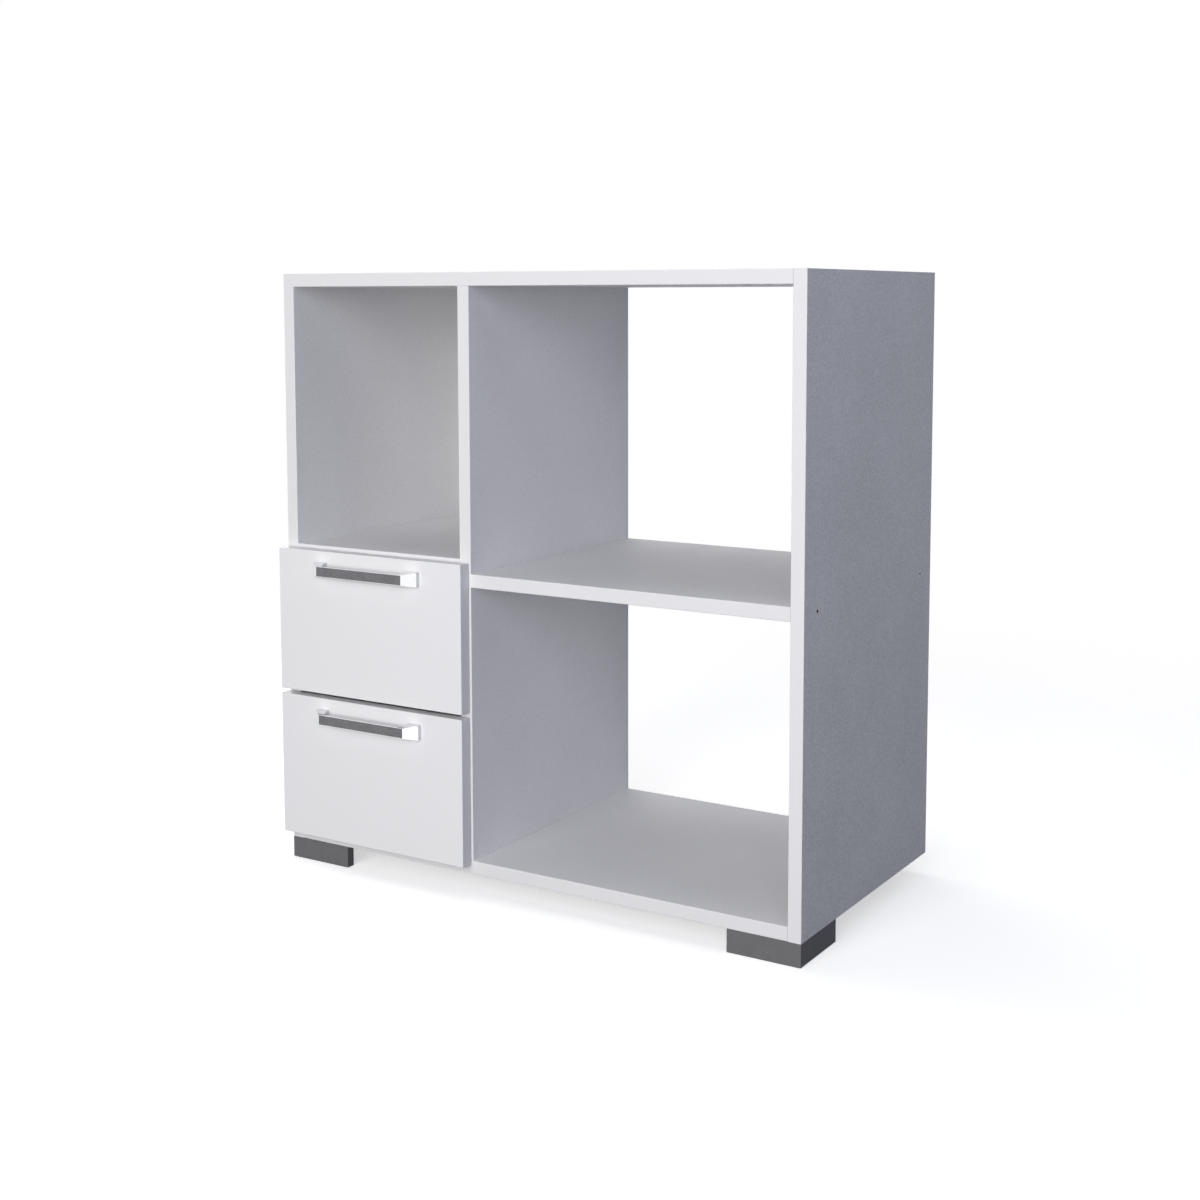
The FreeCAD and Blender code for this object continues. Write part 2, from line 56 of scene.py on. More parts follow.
body_of = {node: body for body, members in record["behaviour"]["bodies"].items() for node in members}

MM = 0.001
X, Y, Z = range(3)
LOW, HIGH = range(2)

# Colours, linear
WHITE_FACE = (0.925, 0.925, 0.937)
WHITE_FACE_SHADE = (0.685, 0.685, 0.698)
EDGE_BAND = (0.775, 0.775, 0.79)
FRONT_FACE = (0.82, 0.825, 0.84)
FRONT_FACE_SHADE = (0.795, 0.80, 0.815)
DRAWER_FACE = (0.82, 0.82, 0.81)
DRAWER_FACE_SHADE = (0.79, 0.79, 0.78)
SEAM = (0.60, 0.59, 0.57)
CHIP_LIGHT = (0.60, 0.45, 0.28)
CHIP_DARK = (0.36, 0.24, 0.13)
FIBRE_LIGHT = (0.34, 0.21, 0.11)
FIBRE_DARK = (0.22, 0.125, 0.06)
LACQUER = (0.77, 0.77, 0.785)
LACQUER_SHADE = (0.73, 0.73, 0.745)
FOOT = (0.176, 0.176, 0.183)
FOOT_SHADE = (0.14, 0.14, 0.147)
# Chrome by facing: a painted bright copy for faces turned to the front, a painted shade copy
# elsewhere
CHROME = (0.93, 0.935, 0.945)
CHROME_PAINTED_SHADE = (0.60, 0.605, 0.62)
INSERT = (0.205, 0.205, 0.216)
INSERT_SHADE = (0.122, 0.122, 0.13)
EPOXY = (0.80, 0.80, 0.785)
EPOXY_SHADE = (0.75, 0.75, 0.735)
NYLON = (0.76, 0.745, 0.70)
NYLON_SHADE = (0.70, 0.685, 0.63)
ZINC = (0.66, 0.66, 0.67)
ZINC_SHADE = (0.52, 0.52, 0.53)
# Dark plate of the connecting screws, which also stands in as painted shade in their hexagon sockets
DARK_STEEL_AND_SOCKET_SHADE = (0.05, 0.05, 0.053)
SCREW_FACE = (0.22, 0.22, 0.23)
SCREW_FACE_SHADE = (0.17, 0.17, 0.178)
BEECH = (0.62, 0.43, 0.26)
BEECH_SHADE = (0.50, 0.33, 0.18)

# Sizes in the finishes, metres
EDGE_BAND_THICKNESS = 1.0 * MM
SEAM_HALF_WIDTH = 0.12 * MM
SKIN = 0.4 * MM
BOARD_CLOUD = 120 * MM
PEBBLE = 2.4 * MM
FINE_GRAIN = 0.9 * MM
BOARD_RELIEF = 0.3 * MM
CHIP = 2.2 * MM
FLECK = 0.8 * MM
FIBRE = 1.6 * MM
FIBRE_CLOUD = 60 * MM
FIBRE_RELIEF = 0.12 * MM
MOULDED_CLOUD = 18 * MM
ZINC_MARK = 0.8 * MM
ZINC_CLOUD = 9 * MM
ZINC_RELIEF = 0.01 * MM
CHROME_MARK = 3 * MM
CHROME_RELIEF = 0.002 * MM
SCREW_FACE_DEPTH = 0.1 * MM
SCREW_MARK = 0.8 * MM
SCREW_RELIEF = 0.01 * MM
PORE = 0.7 * MM
PORE_RELIEF = 0.05 * MM

# How patterns are drawn out along X, Y and Z
EVEN = (1.0, 1.0, 1.0)
CHIP_STRETCH = (1.6, 1.6, 0.7)
FIBRE_STRETCH = (3.0, 1.0, 1.0)
CHROME_STRETCH = (4.0, 1.0, 1.0)
PORE_STRETCH = (6.0, 1.0, 1.0)

# Range that most of a noise lies in, and shares of the finer of two mixed patterns
NOISE_LOW = 0.3
NOISE_HIGH = 0.7
PEBBLE_SHARE = 0.75
CHIP_SHARE = 0.6
FIBRE_SHARE = 0.65
MOULDED_GRAIN_SHARE = 0.6
ZINC_MARK_SHARE = 0.5

# Relief of the fine grain as a share of the pebbles', and of the lacquer as a share of the fibres'
FINE_GRAIN_HEIGHT = 0.12
LACQUER_HEIGHT = 0.25

# Roughness, with its range or the steps from it, and gloss
BOARD_ROUGHNESS = 0.50
FRONT_ROUGHNESS = 0.40
BOARD_SMOOTHER = 0.05
BOARD_ROUGHER = 0.06
EDGE_SMOOTHER = 0.06
RAW_ROUGHNESS = 0.88
BOARD_GLOSS = 0.08
FIBRE_ROUGHNESS = (0.7, 0.9)
LACQUER_ROUGHNESS = (0.36, 0.46)
HARDBOARD_GLOSS = 0.2
MOULDED_SWING = 0.07
ZINC_ROUGHNESS = (0.238, 0.442)
CHROME_ROUGHNESS = (0.10, 0.18)
SCREW_ROUGHNESS = (0.3, 0.45)
BEECH_ROUGHNESS = (0.55, 0.75)

# Cosine from which a surface counts as facing along an axis
ON_FACE = 0.8
ON_RAW_EDGE = 0.9
ON_LACQUER = 0.5

# Cosines to the front over which chrome's painted shade turns bright, and how much its marks shift
# them
CHROME_PAINTED_SHADE_TURN = (0.1, 0.4)
CHROME_MARK_SHIFT = 0.1

# Share of the full grain contrast, and the faces that show all of it, by axis and sign
INNER_GRAIN = 0.45
OUTER_GRAIN = 1.0
FRONT_GRAIN = 0.1
DRAWER_GRAIN = 0.6
OUTER_FACES = {"left_side_panel": (X, -1.0), "right_side_panel": (X, 1.0), "top_panel": (Z, 1.0)}

# Sides that show the raw board, by axis and sign
BACK_AND_UNDERSIDE = ((Y, 1.0), (Z, -1.0))
UNDERSIDE = ((Z, -1.0),)
HARDBOARD_RAW_SIGN = {Y: 1.0, Z: -1.0}

# Sockets of a Mix node, by its type: first and second input, and output
MIX_SOCKETS = {"FLOAT": (2, 3, 0), "RGBA": (6, 7, 2)}


class Finish:
    """Node graph of one procedural finish."""

    def __init__(self, name):
        self.material = bpy.data.materials.new(name)
        self.material.use_nodes = True
        self.tree = self.material.node_tree
        self.shader = self.tree.nodes["Principled BSDF"]
        coordinates = self.add("ShaderNodeTexCoord")
        self.place = coordinates.outputs["Object"]
        self.facing = self.split(coordinates.outputs["Normal"])

    def add(self, kind, *inputs, **settings):
        """Adds a node with its settings and with its first inputs in their order."""
        node = self.tree.nodes.new(kind)
        for name, value in settings.items():
            setattr(node, name, value)
        for socket, value in zip(node.inputs, inputs):
            self.feed(socket, value)
        return node

    def feed(self, socket, value):
        """Links a socket to another, or sets it to a number, vector or colour."""
        if isinstance(value, bpy.types.NodeSocket):
            self.tree.links.new(value, socket)
        elif hasattr(socket.default_value, "__len__") and len(socket.default_value) == 4:
            socket.default_value = (*value, 1.0)
        else:
            socket.default_value = value

    def math(self, operation, first, second=0.0, third=0.0):
        node = self.add("ShaderNodeMath", first, second, third, operation=operation)
        return node.outputs[0]

    def vector(self, operation, first, second=(0.0, 0.0, 0.0)):
        node = self.add("ShaderNodeVectorMath", first, second, operation=operation)
        return node.outputs["Vector"]

    def split(self, vector):
        """The three numbers of a vector."""
        return self.add("ShaderNodeSeparateXYZ", vector).outputs

    def faces(self, axis, sign, limit):
        """1 where the surface faces along the axis, towards the sign, and 0 elsewhere."""
        turned = self.math("MULTIPLY", self.facing[axis], sign)
        return self.math("GREATER_THAN", turned, limit)

    def noise(self, size, detail=2.0, stretch=EVEN, distortion=0.0):
        """Noise from 0 to 1 with features of that size, drawn out along an axis by stretch."""
        node = self.add("ShaderNodeTexNoise")
        self.feed(node.inputs["Vector"], self.vector("DIVIDE", self.place, stretch))
        self.feed(node.inputs["Scale"], 1.0 / size)
        self.feed(node.inputs["Detail"], detail)
        self.feed(node.inputs["Distortion"], distortion)
        return node.outputs["Fac"]

    def chips(self, size, stretch):
        """A tone from 0 to 1 for each chip of about that size."""
        node = self.add("ShaderNodeTexVoronoi")
        self.feed(node.inputs["Vector"], self.vector("DIVIDE", self.place, stretch))
        self.feed(node.inputs["Scale"], 1.0 / size)
        return self.add("ShaderNodeSeparateColor", node.outputs["Color"]).outputs[0]

    def weigh(self, first, share, second):
        """Mix of two patterns with that share of the first."""
        rest = self.math("MULTIPLY", second, 1.0 - share)
        return self.math("MULTIPLY_ADD", first, share, rest)

    def spread(self, factor, low, high, start=NOISE_LOW, end=NOISE_HIGH):
        """From low, where factor is at its start or under, to high at its end or over."""
        node = self.add("ShaderNodeMapRange", factor, start, end, low, high)
        return node.outputs["Result"]

    def mix(self, kind, factor, low, high):
        first, second, result = MIX_SOCKETS[kind]
        node = self.add("ShaderNodeMix", factor, data_type=kind)
        self.feed(node.inputs[first], low)
        self.feed(node.inputs[second], high)
        return node.outputs[result]

    def pick(self, factor, low, high):
        """Number low where factor is 0 and high where it is 1."""
        return self.mix("FLOAT", factor, low, high)

    def blend(self, factor, low, high):
        """Colour low where factor is 0 and high where it is 1."""
        return self.mix("RGBA", factor, low, high)

    def shade(self, pattern, dark, light):
        """Colour from dark to light over the range of a noise."""
        return self.blend(self.spread(pattern, 0.0, 1.0), dark, light)

    def surface(self, colour, roughness, height, depth, specular=0.5, metallic=0.0):
        """Connects the shader; height runs from 0 to 1 over that depth in metres."""
        self.feed(self.shader.inputs["Base Color"], colour)
        self.feed(self.shader.inputs["Roughness"], roughness)
        bump = self.add("ShaderNodeBump")
        bump.inputs["Distance"].default_value = depth
        self.feed(bump.inputs["Height"], height)
        self.feed(self.shader.inputs["Normal"], bump.outputs["Normal"])
        self.shader.inputs["Specular IOR Level"].default_value = specular
        self.shader.inputs["Metallic"].default_value = metallic
        return self.material


def thin_axis(node):
    """Axis along which a node is thinnest."""
    low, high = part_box(node)
    size = high - low
    return min(range(3), key=lambda axis: size[axis])


def inside_board(finish, node):
    """1 below the skin of a board, as in its bores and grooves, and 0 on its skin."""
    low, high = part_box(node)
    centre = (low + high) / 2
    reach = (high - low) / 2 - Vector((SKIN, SKIN, SKIN))
    offset = finish.vector("ABSOLUTE", finish.vector("SUBTRACT", finish.place, centre))
    room = finish.split(finish.vector("SUBTRACT", reach, offset))
    least = finish.math("MINIMUM", finish.math("MINIMUM", room[X], room[Y]), room[Z])
    return finish.math("GREATER_THAN", least, 0.0)


def on_seam(finish, node):
    """1 on the line where the band of the front edge meets the rest of the board."""
    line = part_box(node)[LOW][Y] + EDGE_BAND_THICKNESS
    depth = finish.math("SUBTRACT", finish.split(finish.place)[Y], line)
    return finish.math("LESS_THAN", finish.math("ABSOLUTE", depth), SEAM_HALF_WIDTH)


def board(node, face, face_shade, raw_edges, grained, roughness, outer=None):
    """Melamine-faced chipboard: grained faces, banded edges with a seam, raw chips elsewhere.

    outer is the axis and sign of a face with a bolder grain than the rest."""
    finish = Finish(node + "_board")
    axis = thin_axis(node)
    on_face = finish.math("GREATER_THAN", finish.math("ABSOLUTE", finish.facing[axis]), ON_FACE)
    raw = inside_board(finish, node)
    for edge_axis, sign in raw_edges:
        if edge_axis != axis:
            raw = finish.math("MAXIMUM", raw, finish.faces(edge_axis, sign, ON_RAW_EDGE))

    pebble = finish.noise(PEBBLE, detail=1.0)
    grain = finish.noise(FINE_GRAIN, detail=2.0)
    tone = finish.weigh(pebble, PEBBLE_SHARE, finish.noise(BOARD_CLOUD, detail=3.0))
    contrast = grained
    if outer:
        contrast = finish.pick(finish.faces(*outer, ON_FACE), grained, OUTER_GRAIN)
    from_middle = finish.spread(tone, -0.5, 0.5)
    tone = finish.math("MULTIPLY_ADD", from_middle, contrast, 0.5)
    white = finish.blend(on_face, EDGE_BAND, finish.blend(tone, face_shade, face))
    if axis != Y:
        seam = finish.math("MULTIPLY", on_seam(finish, node), on_face)
        white = finish.blend(seam, white, SEAM)

    chip = finish.chips(CHIP, CHIP_STRETCH)
    speckle = finish.weigh(chip, CHIP_SHARE, finish.noise(FLECK, detail=4.0))
    colour = finish.blend(raw, white, finish.blend(speckle, CHIP_DARK, CHIP_LIGHT))

    smooth = finish.spread(grain, roughness - BOARD_SMOOTHER, roughness + BOARD_ROUGHER)
    smooth = finish.pick(on_face, roughness - EDGE_SMOOTHER, smooth)
    rough = finish.pick(raw, smooth, RAW_ROUGHNESS)
    relief = finish.math("MULTIPLY_ADD", grain, FINE_GRAIN_HEIGHT, pebble)
    relief = finish.math("MULTIPLY", relief, finish.math("MULTIPLY", on_face, grained))
    height = finish.pick(raw, relief, chip)
    return finish.surface(colour, rough, height, BOARD_RELIEF, specular=BOARD_GLOSS)


def hardboard(node):
    """Thin hardboard: lacquered on one side, brown fibres on the other."""
    finish = Finish(node + "_hardboard")
    axis = thin_axis(node)
    lacquered = finish.faces(axis, -HARDBOARD_RAW_SIGN[axis], ON_LACQUER)
    fibre = finish.noise(FIBRE, detail=5.0, stretch=FIBRE_STRETCH, distortion=0.6)
    mixed = finish.weigh(fibre, FIBRE_SHARE, finish.noise(FIBRE_CLOUD, detail=3.0))
    brown = finish.shade(mixed, FIBRE_DARK, FIBRE_LIGHT)
    white = finish.shade(mixed, LACQUER_SHADE, LACQUER)
    colour = finish.blend(lacquered, brown, white)
    matt = finish.spread(fibre, *FIBRE_ROUGHNESS)
    satin = finish.spread(fibre, *LACQUER_ROUGHNESS)
    rough = finish.pick(lacquered, matt, satin)
    height = finish.pick(lacquered, fibre, finish.math("MULTIPLY", fibre, LACQUER_HEIGHT))
    return finish.surface(colour, rough, height, FIBRE_RELIEF, specular=HARDBOARD_GLOSS)


def moulded(name, light, dark, grain_size, roughness, depth, specular):
    """Moulded plastic or a coat of epoxy, with an even fine grain."""
    finish = Finish(name)
    grain = finish.noise(grain_size, detail=2.0)
    mixed = finish.weigh(grain, MOULDED_GRAIN_SHARE, finish.noise(MOULDED_CLOUD, detail=2.0))
    colour = finish.shade(mixed, dark, light)
    rough = finish.spread(mixed, roughness - MOULDED_SWING, roughness + MOULDED_SWING)
    return finish.surface(colour, rough, grain, depth, specular=specular)


def zinc():
    """Zinc plate with fine marks and soft clouds."""
    finish = Finish("zinc")
    marks = finish.noise(ZINC_MARK, detail=3.0)
    mixed = finish.weigh(marks, ZINC_MARK_SHARE, finish.noise(ZINC_CLOUD, detail=2.0))
    colour = finish.shade(mixed, ZINC_SHADE, ZINC)
    rough = finish.spread(mixed, *ZINC_ROUGHNESS)
    return finish.surface(colour, rough, marks, ZINC_RELIEF, metallic=1.0)


def chrome():
    """Polished plate, bright where it faces the front, with painted shade on its rims, top and back.
    """
    finish = Finish("chrome")
    marks = finish.noise(CHROME_MARK, detail=3.0, stretch=CHROME_STRETCH)
    # Painted reflection and shade: the colour darkens by which way a face turns from the front, not
    # by light
    ahead = finish.math("MULTIPLY", finish.facing[Y], -1.0)
    ahead = finish.math("MULTIPLY_ADD", marks, CHROME_MARK_SHIFT, ahead)
    colour = finish.blend(finish.spread(ahead, 0.0, 1.0, *CHROME_PAINTED_SHADE_TURN), CHROME_PAINTED_SHADE, CHROME)
    rough = finish.spread(marks, *CHROME_ROUGHNESS)
    return finish.surface(colour, rough, marks, CHROME_RELIEF, metallic=1.0)


def connecting_screw():
    """Dark plated screw with a lighter head face; the dark plate also paints shade into its socket.
    """
    finish = Finish("connecting_screw")
    place = finish.split(finish.place)
    on_face = 0.0
    for axis, level in (
        (X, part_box("right_side_panel")[HIGH][X]),
        (X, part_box("partition_panel")[LOW][X]),
        (Z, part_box("bottom_panel")[LOW][Z]),
    ):
        depth = finish.math("ABSOLUTE", finish.math("SUBTRACT", place[axis], level))
        level_with = finish.math("LESS_THAN", depth, SCREW_FACE_DEPTH)
        on_face = finish.math("MAXIMUM", on_face, level_with)
    marks = finish.noise(SCREW_MARK, detail=3.0)
    # All below the head's face, the socket too, takes the dark plate, which there is painted shade
    colour = finish.blend(on_face, DARK_STEEL_AND_SOCKET_SHADE, finish.shade(marks, SCREW_FACE_SHADE, SCREW_FACE))
    rough = finish.spread(marks, *SCREW_ROUGHNESS)
    return finish.surface(colour, rough, marks, SCREW_RELIEF, metallic=1.0)


def beech():
    """Beech with fine pores drawn out along X."""
    finish = Finish("beech")
    pores = finish.noise(PORE, detail=4.0, stretch=PORE_STRETCH)
    colour = finish.shade(pores, BEECH_SHADE, BEECH)
    return finish.surface(colour, finish.spread(pores, *BEECH_ROUGHNESS), pores, PORE_RELIEF)


shared_finishes = {
    "foot_plastic": moulded(
        "foot_plastic", FOOT, FOOT_SHADE,
        grain_size=0.7 * MM, roughness=0.6, depth=0.05 * MM, specular=0.06,
    ),
    "dark_insert": moulded(
        "dark_insert", INSERT, INSERT_SHADE,
        grain_size=2.4 * MM, roughness=0.5, depth=0.02 * MM, specular=0.2,
    ),
    "runner_steel": moulded(
        "runner_epoxy", EPOXY, EPOXY_SHADE,
        grain_size=1.2 * MM, roughness=0.4, depth=0.03 * MM, specular=0.35,
    ),
    "roller_plastic": moulded(
        "roller_nylon", NYLON, NYLON_SHADE,
        grain_size=0.6 * MM, roughness=0.45, depth=0.02 * MM, specular=0.35,
    ),
    "chrome": chrome(),
    "zinc": zinc(),
    "dark_steel": connecting_screw(),
    "beech": beech(),
}


def finish_of(node):
    """Material of a node, by its slot."""
    slot = slot_of[node]
    if slot == "white_board":
        return board(
            node, WHITE_FACE, WHITE_FACE_SHADE, BACK_AND_UNDERSIDE, INNER_GRAIN, BOARD_ROUGHNESS,
            outer=OUTER_FACES.get(node),
        )
    if slot == "front_board":
        return board(node, FRONT_FACE, FRONT_FACE_SHADE, (), FRONT_GRAIN, FRONT_ROUGHNESS)
    if slot == "drawer_board":
        return board(node, DRAWER_FACE, DRAWER_FACE_SHADE, UNDERSIDE, DRAWER_GRAIN, BOARD_ROUGHNESS)
    if slot == "hardboard":
        return hardboard(node)
    return shared_finishes[slot]


for name, piece in nodes.items():
    piece.data.materials.clear()
    piece.data.materials.append(finish_of(name))


# Nodes of plain screws and dowels that new pieces stand for
SCREW_NODES = [name for name in nodes if name.endswith("_screws") and slot_of[name] == "zinc"]
DOWEL_NODES = [name for name in nodes if name.endswith("_dowels")]
SAME_POINT = 0.001 * MM
SHARP_ANGLE = math.radians(35)

# Cross recess: its reach and width as shares of the head's flat top, its floor as a share of
# its mouth, its depth as a share of the head's height
CROSS_REACH = 0.85
CROSS_HALF_WIDTH = 0.2
CROSS_FLOOR = 0.45
CROSS_DEPTH = 0.75
CORNER_STEPS = 3
DOME_STEPS = 3

# Thread: its root as a share of the shank, its seat and the tip's end as shares of the root, its
# width as a share of the pitch, and its steps in a turn
THREAD_ROOT = 0.72
THREAD_SEAT = 0.95
TIP_SHARE = 0.25
THREAD_HALF_WIDTH = 0.32
THREAD_STEPS = 16
WOOD_PITCH = 1.4 * MM
WOOD_TIP = 3.0 * MM
MACHINE_PITCH = 0.7 * MM
MACHINE_TIP = 0.6 * MM

# Turn from one screw of a node to the next, radians
SCREW_TURN = 0.7

# Dowels
FLUTES = 16
FLUTE_POINTS = 4
FLUTE_DEPTH = 0.25 * MM
DOWEL_CHAMFER = 1.0 * MM


def separate_solids(node):
    """Points of each separate solid in a node's mesh."""
    mesh = bmesh.new()
    mesh.from_mesh(nodes[node].data)
    bmesh.ops.remove_doubles(mesh, verts=mesh.verts[:], dist=SAME_POINT)
    seen = set()
    solids = []
    for first in mesh.verts:
        if first in seen:
            continue
        seen.add(first)
        waiting = [first]
        points = []
        while waiting:
            vert = waiting.pop()
            points.append(vert.co.copy())
            for edge in vert.link_edges:
                other = edge.other_vert(vert)
                if other not in seen:
                    seen.add(other)
                    waiting.append(other)
        solids.append(points)
    mesh.free()
    return solids


def corners(points):
    """Lowest and highest corner of the box round the points, and the axis of its longest side."""
    low = Vector(min(point[axis] for point in points) for axis in range(3))
    high = Vector(max(point[axis] for point in points) for axis in range(3))
    return low, high, max(range(3), key=lambda axis: high[axis] - low[axis])


def join_rings(mesh, rings):
    """Joins each ring of points to the next with a band of faces."""
    for one, other in zip(rings, rings[1:]):
        for here in range(len(one)):
            back = here - 1
            mesh.faces.new((one[back], one[here], other[here], other[back]))


def stand_for(node, name, mesh):
    """Shows the mesh in place of a node, with the node's finish and on its body."""
    bmesh.ops.recalc_face_normals(mesh, faces=mesh.faces[:])
    data = bpy.data.meshes.new(name)
    mesh.to_mesh(data)
    mesh.free()
    data.shade_smooth()
    data.set_sharp_from_angle(angle=SHARP_ANGLE)
    data.materials.append(shared_finishes[slot_of[node]])
    piece = bpy.data.objects.new(name, data)
    bpy.context.collection.objects.link(piece)
    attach(piece, body_of[node])
    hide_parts(node)


class PanScrew:
    """Place and sizes of a pan-head screw, measured on its CAD solid, turned about its axis."""

    def __init__(self, points, turn):
        low, high, self.axis = corners(points)
        self.middle = (low + high) / 2
        ends = {}
        for end in (low[self.axis], high[self.axis]):
            at_end = [point for point in points if abs(point[self.axis] - end) < SAME_POINT]
            ends[end] = max(self.radius(point) for point in at_end)
        head_end, tip_end = sorted(ends, key=ends.get, reverse=True)
        self.rim = max(self.radius(point) for point in points)
        on_rim = [point for point in points if self.radius(point) > self.rim - SAME_POINT]
        rim_depths = [abs(point[self.axis] - head_end) for point in on_rim]
        self.bevel = min(rim_depths)
        self.head = max(rim_depths)
        self.flat = ends[head_end]
        self.shank = ends[tip_end]
        self.root = THREAD_ROOT * self.shank
        self.length = abs(tip_end - head_end)
        self.top = self.middle.copy()
        self.top[self.axis] = head_end
        self.into = Vector((0.0, 0.0, 0.0))
        self.into[self.axis] = math.copysign(1.0, tip_end - head_end)
        self.across = Matrix.Rotation(turn, 3, self.into) @ self.into.orthogonal().normalized()
        self.beside = self.into.cross(self.across)

    def radius(self, point):
        """Distance of a point from the screw's axis."""
        offset = point - self.middle
        offset[self.axis] = 0.0
        return offset.length

    def at(self, radius, angle, depth):
        """Point at that distance from the axis and angle round it, that deep below the top."""
        spoke = self.across * math.cos(angle) + self.beside * math.sin(angle)
        return self.top + self.into * depth + spoke * radius


def cross_angles():
    """Angles round a screw that meet every corner of its cross."""
    corner = math.atan2(CROSS_HALF_WIDTH, CROSS_REACH)
    step = (math.pi / 4 - corner) / CORNER_STEPS
    quarter = [-corner, 0.0] + [corner + step * count for count in range(2 * CORNER_STEPS)]
    return [math.pi / 2 * turn + angle for turn in range(4) for angle in quarter]


def cross_outline(angle):
    """Distance from the centre to the edge of the cross, where the head's flat top is 1."""
    lengthwise, sideways = sorted((abs(math.cos(angle)), abs(math.sin(angle))), reverse=True)
    if sideways * CROSS_REACH <= lengthwise * CROSS_HALF_WIDTH:
        return CROSS_REACH / lengthwise
    return CROSS_HALF_WIDTH / sideways


def add_head_and_core(mesh, screw, tip):
    """Adds a domed head with a cross recess, and a core with a tip of that length."""
    angles = cross_angles()
    mouth = [screw.flat * cross_outline(angle) for angle in angles]

    def ring(radii, depth):
        return [
            mesh.verts.new(screw.at(radius, angle, depth))
            for radius, angle in zip(radii, angles)
        ]

    def circle(radius, depth):
        return ring([radius] * len(angles), depth)

    recess = CROSS_DEPTH * screw.head
    rings = [ring([CROSS_FLOOR * radius for radius in mouth], recess), ring(mouth, 0.0)]
    for step in range(DOME_STEPS + 1):
        lean = math.pi / 2 * step / DOME_STEPS
        reach = screw.flat + (screw.rim - screw.flat) * math.sin(lean)
        rings.append(circle(reach, screw.bevel * (1.0 - math.cos(lean))))
    rings.append(circle(screw.rim, screw.head))
    rings.append(circle(screw.root, screw.head))
    rings.append(circle(screw.root, screw.length - tip))
    rings.append(circle(TIP_SHARE * screw.root, screw.length))
    join_rings(mesh, rings)
    floor = mesh.verts.new(screw.at(0.0, 0.0, recess))
    for here, point in enumerate(rings[0]):
        mesh.faces.new((floor, rings[0][here - 1], point))
    mesh.faces.new(rings[-1])


def add_thread(mesh, screw, pitch, tip):
    """Adds a thread that winds round the core and thins out over its tip."""
    half_width = THREAD_HALF_WIDTH * pitch
    start = screw.head + half_width
    steps = int((screw.length - half_width - start) / pitch * THREAD_STEPS)
    sections = []
    for step in range(steps + 1):
        depth = start + pitch * step / THREAD_STEPS
        angle = 2 * math.pi * step / THREAD_STEPS
        share = min(1.0, TIP_SHARE + (1.0 - TIP_SHARE) * (screw.length - depth) / tip)
        base = THREAD_SEAT * screw.root * share
        crest = screw.shank * share
        places = ((base, depth - half_width), (crest, depth), (base, depth + half_width))
        sections.append([mesh.verts.new(screw.at(radius, angle, level)) for radius, level in places])
    join_rings(mesh, sections)
    mesh.faces.new(sections[0])
    mesh.faces.new(sections[-1])


def threaded_screws(node):
    """Stands for a node of plain pan-head screws, each with its cross and thread."""
    machine = node.endswith("handle_screws")
    pitch, tip = (MACHINE_PITCH, MACHINE_TIP) if machine else (WOOD_PITCH, WOOD_TIP)
    mesh = bmesh.new()
    for number, points in enumerate(separate_solids(node)):
        screw = PanScrew(points, SCREW_TURN * number)
        add_head_and_core(mesh, screw, tip)
        add_thread(mesh, screw, pitch, tip)
    stand_for(node, "threaded_" + node, mesh)


def add_dowel(mesh, points):
    """Adds a dowel with flutes for the glue and chamfered ends, as large as the points."""
    low, high, axis = corners(points)
    across, beside = [number for number in range(3) if number != axis]
    radius = (high[across] - low[across]) / 2
    count = FLUTES * FLUTE_POINTS
    rings = []
    for level, inset in (
        (low[axis], DOWEL_CHAMFER),
        (low[axis] + DOWEL_CHAMFER, 0.0),
        (high[axis] - DOWEL_CHAMFER, 0.0),
        (high[axis], DOWEL_CHAMFER),
    ):
        ring = []
        for step in range(count):
            angle = 2 * math.pi * step / count
            flute = FLUTE_DEPTH * (1.0 - math.cos(FLUTES * angle)) / 2
            place = (low + high) / 2
            place[axis] = level
            place[across] += (radius - inset - flute) * math.cos(angle)
            place[beside] += (radius - inset - flute) * math.sin(angle)
            ring.append(mesh.verts.new(place))
        rings.append(ring)
    join_rings(mesh, rings)
    mesh.faces.new(rings[0])
    mesh.faces.new(rings[-1])


def fluted_dowels(node):
    """Stands for a node of plain dowels, each with its flutes."""
    mesh = bmesh.new()
    for points in separate_solids(node):
        add_dowel(mesh, points)
    stand_for(node, "fluted_" + node, mesh)


for name in SCREW_NODES:
    threaded_screws(name)
for name in DOWEL_NODES:
    fluted_dowels(name)


# Floor and background
FLOOR_RADIUS = 9.0
FLOOR_SIDES = 96
FADE_START = 0.75
FADE_END = 2.2
FLOOR_COLOUR = (0.82, 0.82, 0.82)
FLOOR_BOUNCE = (0.18, 0.19, 0.22)
FLOOR_LIFT = 0.56
AMBIENT = 0.04
AMBIENT_TINT = (0.87, 0.95, 1.24)
WHITE = (1.0, 1.0, 1.0)


def shown_ray(tree):
    """1 for rays that show the background: from the camera, or by way of metal and glass."""
    ray = tree.nodes.new("ShaderNodeLightPath").outputs
    shown = ray["Is Camera Ray"]
    for other in ("Is Glossy Ray", "Is Transmission Ray"):
        larger = tree.nodes.new("ShaderNodeMath")
        larger.operation = "MAXIMUM"
        tree.links.new(shown, larger.inputs[0])
        tree.links.new(ray[other], larger.inputs[1])
        shown = larger.outputs[0]
    return shown


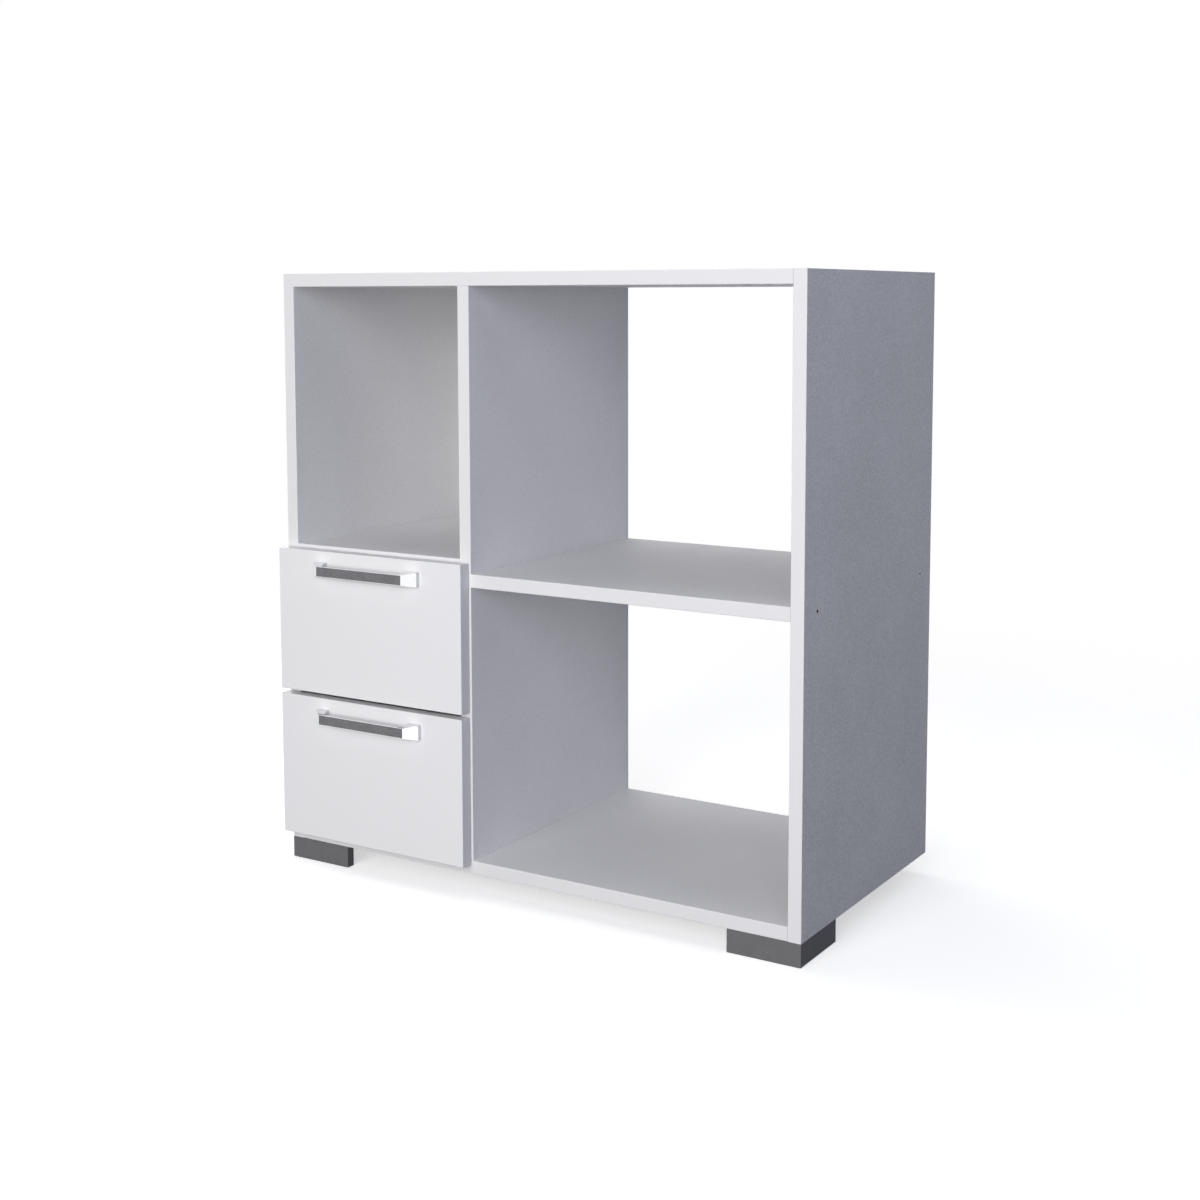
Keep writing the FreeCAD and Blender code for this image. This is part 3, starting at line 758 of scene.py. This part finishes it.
def floor_disc():
    """Pale floor that keeps the shadow, fades to white far out and returns little light."""
    bpy.ops.mesh.primitive_circle_add(vertices=FLOOR_SIDES, radius=FLOOR_RADIUS, fill_type="NGON")
    floor = bpy.context.object
    floor.name = "floor"
    material = bpy.data.materials.new("floor")
    material.use_nodes = True
    tree = material.node_tree
    tree.nodes.clear()
    place = tree.nodes.new("ShaderNodeTexCoord")
    distance = tree.nodes.new("ShaderNodeVectorMath")
    distance.operation = "LENGTH"
    fade = tree.nodes.new("ShaderNodeMapRange")
    fade.interpolation_type = "SMOOTHSTEP"
    fade.inputs["From Min"].default_value = FADE_START
    fade.inputs["From Max"].default_value = FADE_END
    matt = tree.nodes.new("ShaderNodeBsdfDiffuse")
    matt.inputs["Color"].default_value = (*FLOOR_COLOUR, 1.0)
    bounce = tree.nodes.new("ShaderNodeBsdfDiffuse")
    bounce.inputs["Color"].default_value = (*FLOOR_BOUNCE, 1.0)
    lift = tree.nodes.new("ShaderNodeEmission")
    lift.inputs["Strength"].default_value = FLOOR_LIFT
    lifted = tree.nodes.new("ShaderNodeAddShader")
    white = tree.nodes.new("ShaderNodeEmission")
    faded = tree.nodes.new("ShaderNodeMixShader")
    chosen = tree.nodes.new("ShaderNodeMixShader")
    output = tree.nodes.new("ShaderNodeOutputMaterial")
    link = tree.links.new
    link(place.outputs["Object"], distance.inputs[0])
    link(distance.outputs["Value"], fade.inputs["Value"])
    link(matt.outputs[0], lifted.inputs[0])
    link(lift.outputs[0], lifted.inputs[1])
    link(fade.outputs["Result"], faded.inputs[0])
    link(lifted.outputs[0], faded.inputs[1])
    link(white.outputs[0], faded.inputs[2])
    link(shown_ray(tree), chosen.inputs[0])
    link(bounce.outputs[0], chosen.inputs[1])
    link(faded.outputs[0], chosen.inputs[2])
    link(chosen.outputs[0], output.inputs["Surface"])
    floor.data.materials.append(material)


def white_world():
    """World that shows as white and gives a faint, cool light all round."""
    world = bpy.data.worlds.new("studio")
    bpy.context.scene.world = world
    world.use_nodes = True
    tree = world.node_tree
    ambient = tree.nodes["Background"]
    ambient.inputs["Color"].default_value = (*AMBIENT_TINT, 1.0)
    ambient.inputs["Strength"].default_value = AMBIENT
    white = tree.nodes.new("ShaderNodeBackground")
    white.inputs["Color"].default_value = (*WHITE, 1.0)
    chosen = tree.nodes.new("ShaderNodeMixShader")
    tree.links.new(shown_ray(tree), chosen.inputs[0])
    tree.links.new(ambient.outputs[0], chosen.inputs[1])
    tree.links.new(white.outputs[0], chosen.inputs[2])
    tree.links.new(chosen.outputs[0], tree.nodes["World Output"].inputs["Surface"])


floor_disc()
white_world()


# Light: each lamp's name, place and side in metres, power in watts and colour
TARGET = Vector((0.0, 0.0, 0.42))
WARM = (1.0, 0.975, 0.925)
COOL = (0.81, 0.845, 1.0)
LARGE = 2.0
SMALL = 0.7
LAMPS = (
    ("front", (0.3, -3.9, 1.0), LARGE, 94.0, WARM),
    ("front_high", (0.2, -3.6, 2.6), LARGE, 20.0, WARM),
    ("side", (2.0, -3.2, 1.6), LARGE, 40.0, COOL),
    ("side_high", (1.5, -0.6, 2.1), SMALL, 3.5, COOL),
    ("left", (-3.2, 0.2, 1.1), LARGE, 30.0, WHITE),
    ("rear", (-3.0, 2.2, 0.7), LARGE, 35.0, WHITE),
    ("behind_right", (1.2, 2.8, 0.9), LARGE, 9.0, COOL),
    ("overhead", (-0.6, 0.3, 3.2), LARGE, 30.0, WHITE),
)


def softbox(name, place, side, power, colour):
    """Square area lamp that looks at the target."""
    lamp = bpy.data.lights.new(name, "AREA")
    lamp.shape = "SQUARE"
    lamp.size = side
    lamp.energy = power
    lamp.color = colour
    holder = bpy.data.objects.new(name, lamp)
    holder.location = place
    holder.rotation_euler = (TARGET - Vector(place)).to_track_quat("-Z", "Y").to_euler()
    bpy.context.collection.objects.link(holder)


for lamp in LAMPS:
    softbox(*lamp)


# Camera, from the photograph's straight edges
CAMERA_PLACE = Vector((1.24505, -1.97520, 0.79459))
CAMERA_TURN = math.radians(31.475)
CAMERA_TILT = math.radians(-5.425)
CAMERA_ROLL = math.radians(0.046)
CAMERA_LENS = 51.308
CAMERA_SENSOR = 36.0
CAMERA_SHIFT = (-0.01583, -0.11525)

camera = bpy.data.cameras.new("camera")
camera.sensor_width = CAMERA_SENSOR
camera.lens = CAMERA_LENS
camera.shift_x, camera.shift_y = CAMERA_SHIFT
holder = bpy.data.objects.new("camera", camera)
looking_along_y = Matrix.Rotation(math.radians(90), 3, "X")
aim = Matrix.Rotation(CAMERA_TURN, 3, "Z") @ Matrix.Rotation(CAMERA_TILT, 3, "X")
aim = aim @ Matrix.Rotation(CAMERA_ROLL, 3, "Y") @ looking_along_y
holder.matrix_world = Matrix.Translation(CAMERA_PLACE) @ aim.to_4x4()
bpy.context.collection.objects.link(holder)
bpy.context.scene.camera = holder

bpy.context.scene.view_settings.view_transform = "Standard"
